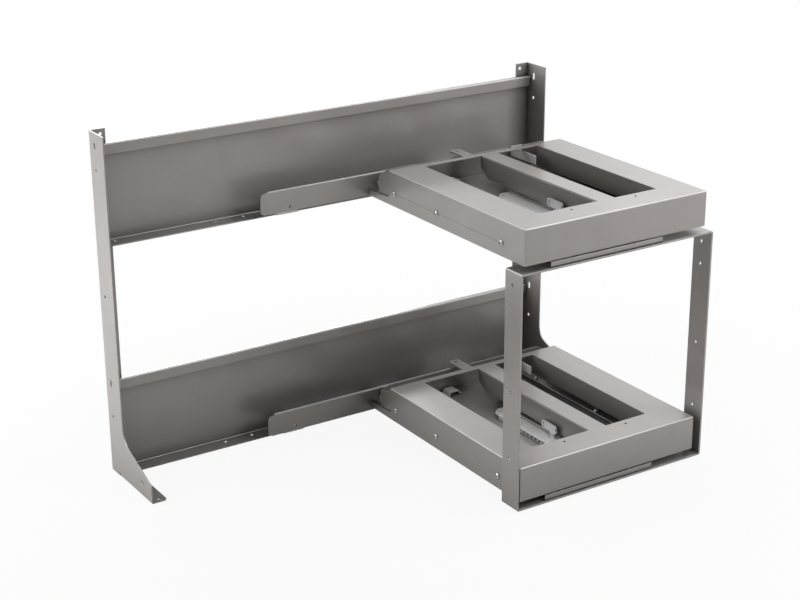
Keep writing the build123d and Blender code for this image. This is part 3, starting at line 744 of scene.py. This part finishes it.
flangeSolids = []
carriageSolids = []
for tier in tiers.values():
    for x, height in flangeBolts["columns"]:
        flangeSolids += hexHead((x, flangeBolts["line"], tier["rail"] + height), (0, 0, 1), hexBolt)
    for x in carriageScrews["columns"]:
        place = (x, carriageScrews["line"], tier["deck"] - carriageScrews["drop"])
        carriageSolids += hexHead(place, (0, 0, 1), carriageScrews["head"])
makePiece("flangeBoltHeads", flangeSolids, screwZinc, "back_frame_and_decks",
          ("flange_bolts",))
makePiece("carriageScrewHeads", carriageSolids, screwZinc, "front_frame",
          ("carriage_screws",))

for tierName, tier in tiers.items():
    armSolids = []
    for x in armBolts["columns"]:
        place = (x, armBolts["line"], tier["rail"] + rearSlideHeight)
        armSolids += hexHead(place, (0, -1, 0), hexBolt)
    makePiece(f"{tierName}ArmBoltHeads", armSolids, screwZinc, f"{tierName}_rear_arm",
              (f"{tierName}_arm_bolts",))
print("fasteners made")


# Hardened balls: chrome steel, ground and lapped; each is a nearly perfect small mirror
# the balls keep the screws' painted shade near corners and darker painted edges
ballSettings = {
    **polishedSettings,
    "colour": "#dfe0e2",
    "roughness": 0.1,
}
hardenedBall = zincPlate("hardenedSteelBalls", ballSettings, "y")

# Ball cages: stamped strips that swell round each ball, with the balls in their pockets, all in mm
cageStrip = {
    "bar": 1.6,              # width between two balls
    "swell": 0.55,           # how much wider each half gets at a ball
    "sheet": 0.7,
    "step": 1.5,             # between two sections of the strip
}
cageBall = {
    "rings": 6,
    "points": 10,
    "pole": 0.12,            # radians from a pole to its first ring
}
slideCages = {
    "columns": (left + 556, left + 732),     # middles of the slides under a deck
    "start": back - 165 - 90,                # the slides' rear end less the cages' setback
    "length": 166,
    "pitch": 13.5,
    "ball": 2.9,
    # how far a race is beside its slide's middle, and under the deck
    "races": {"outer": (17.1, 2.75), "inner": (12.88, 5.6)},
}
rearCages = {
    "start": left + 385,
    "line": back - 48.25,
    "race": 15,              # above and below the rear slide's middle
    "length": 180,
    "pitch": 13.5,
    "ball": 3.9,
}
catchCages = {
    "column": left + 646.5,  # the catch's middle
    "race": 14.9,            # to each side of it
    "start": back - 317,
    "height": 3.6,           # above the raised floor
    "length": 70,
    "pitch": 5.5,
    "ball": 2.4,
}


def ballPlaces(size):
    # as many balls as the pitch allows, with the rest of the length shared by the two ends
    count = int(size["length"] // size["pitch"])
    first = (size["length"] - size["pitch"] * (count - 1)) / 2
    return first + size["pitch"] * np.arange(count)


def ballAt(centres, radius, size):
    # each ball is rings of points, radius * sin a out and -radius * cos a up, with a small flat at each pole
    solids = []
    tilt = np.linspace(size["pole"], math.pi - size["pole"], size["rings"])
    rings = [(radius * math.sin(a), -radius * math.cos(a), 0) for a in tilt]
    for centre in centres:
        solids.append(turnedSolid(rings, centre, (0, 0, 1), size["points"]))
    return solids


def stampedStrip(start, along, across, size, strip):
    # half the width is bar / 2 + swell * cos^4 of the way from ball to ball, and the section is a flat loop
    along = np.array(along, float)
    across = np.array(across, float)
    thick = np.cross(along, across)
    count = int(size["length"] / strip["step"]) + 1
    way = np.linspace(0, size["length"], count)
    turn = np.pi * (way - ballPlaces(size)[0]) / size["pitch"]
    width = strip["bar"] / 2 + strip["swell"] * np.cos(turn) ** 4
    half = strip["sheet"] / 2
    corners = np.array(((-1, -1), (1, -1), (1, 1), (-1, 1)), float)
    points = (np.array(start, float) + way[:, None, None] * along
              + (corners[:, 0] * width[:, None])[..., None] * across
              + (corners[:, 1] * half)[None, :, None] * thick)
    ring, step = np.meshgrid(np.arange(count - 1), np.arange(4), indexing="ij")
    ahead = (step + 1) % 4
    quads = np.stack((ring * 4 + step, ring * 4 + ahead, (ring + 1) * 4 + ahead, (ring + 1) * 4 + step), -1)
    ends = [[3, 2, 1, 0], [4 * count - 4, 4 * count - 3, 4 * count - 2, 4 * count - 1]]
    return points.reshape(-1, 3), quads.reshape(-1, 4).tolist() + ends


def makeCages(name, node, lines, size):
    # a line is the start of one strip, the way it runs, and the way its width lies; a cage's node and body
    # share one name
    strips = []
    balls = []
    for start, along, across in lines:
        strips.append(stampedStrip(start, along, across, size, cageStrip))
        centres = np.array(start, float) + ballPlaces(size)[:, None] * np.array(along, float)
        balls += ballAt(centres, size["ball"] / 2, cageBall)
    makePiece(f"{name}Strips", strips, zincAlongY, node, (node,))
    makePiece(f"{name}Balls", balls, hardenedBall, node, (node,), smooth=80)


for name, (race, depth) in slideCages["races"].items():
    lines = []
    for tier in tiers.values():
        for x in slideCages["columns"]:
            for side in (-1, 1):
                start = (x + side * race, slideCages["start"], tier["deck"] - depth)
                lines.append((start, (0, -1, 0), (0, 0, side)))
    makeCages(f"{name}Cage", f"{name}_cages", lines, slideCages)

for tierName, tier in tiers.items():
    rearLines = []
    catchLines = []
    rearZ = tier["rail"] + rearSlideHeight
    catchZ = tier["deck"] + floorHeight + catchCages["height"]
    for side in (-1, 1):
        rearStart = (rearCages["start"], rearCages["line"], rearZ + side * rearCages["race"])
        rearLines.append((rearStart, (1, 0, 0), (0, side, 0)))
        catchStart = (catchCages["column"] + side * catchCages["race"], catchCages["start"], catchZ)
        catchLines.append((catchStart, (0, -1, 0), (0, 0, side)))
    makeCages(f"{tierName}RearCage", f"{tierName}_rear_cage", rearLines, rearCages)
    makeCages(f"{tierName}CatchCage", f"{tierName}_catch_cage", catchLines, catchCages)
print("ball cages made")
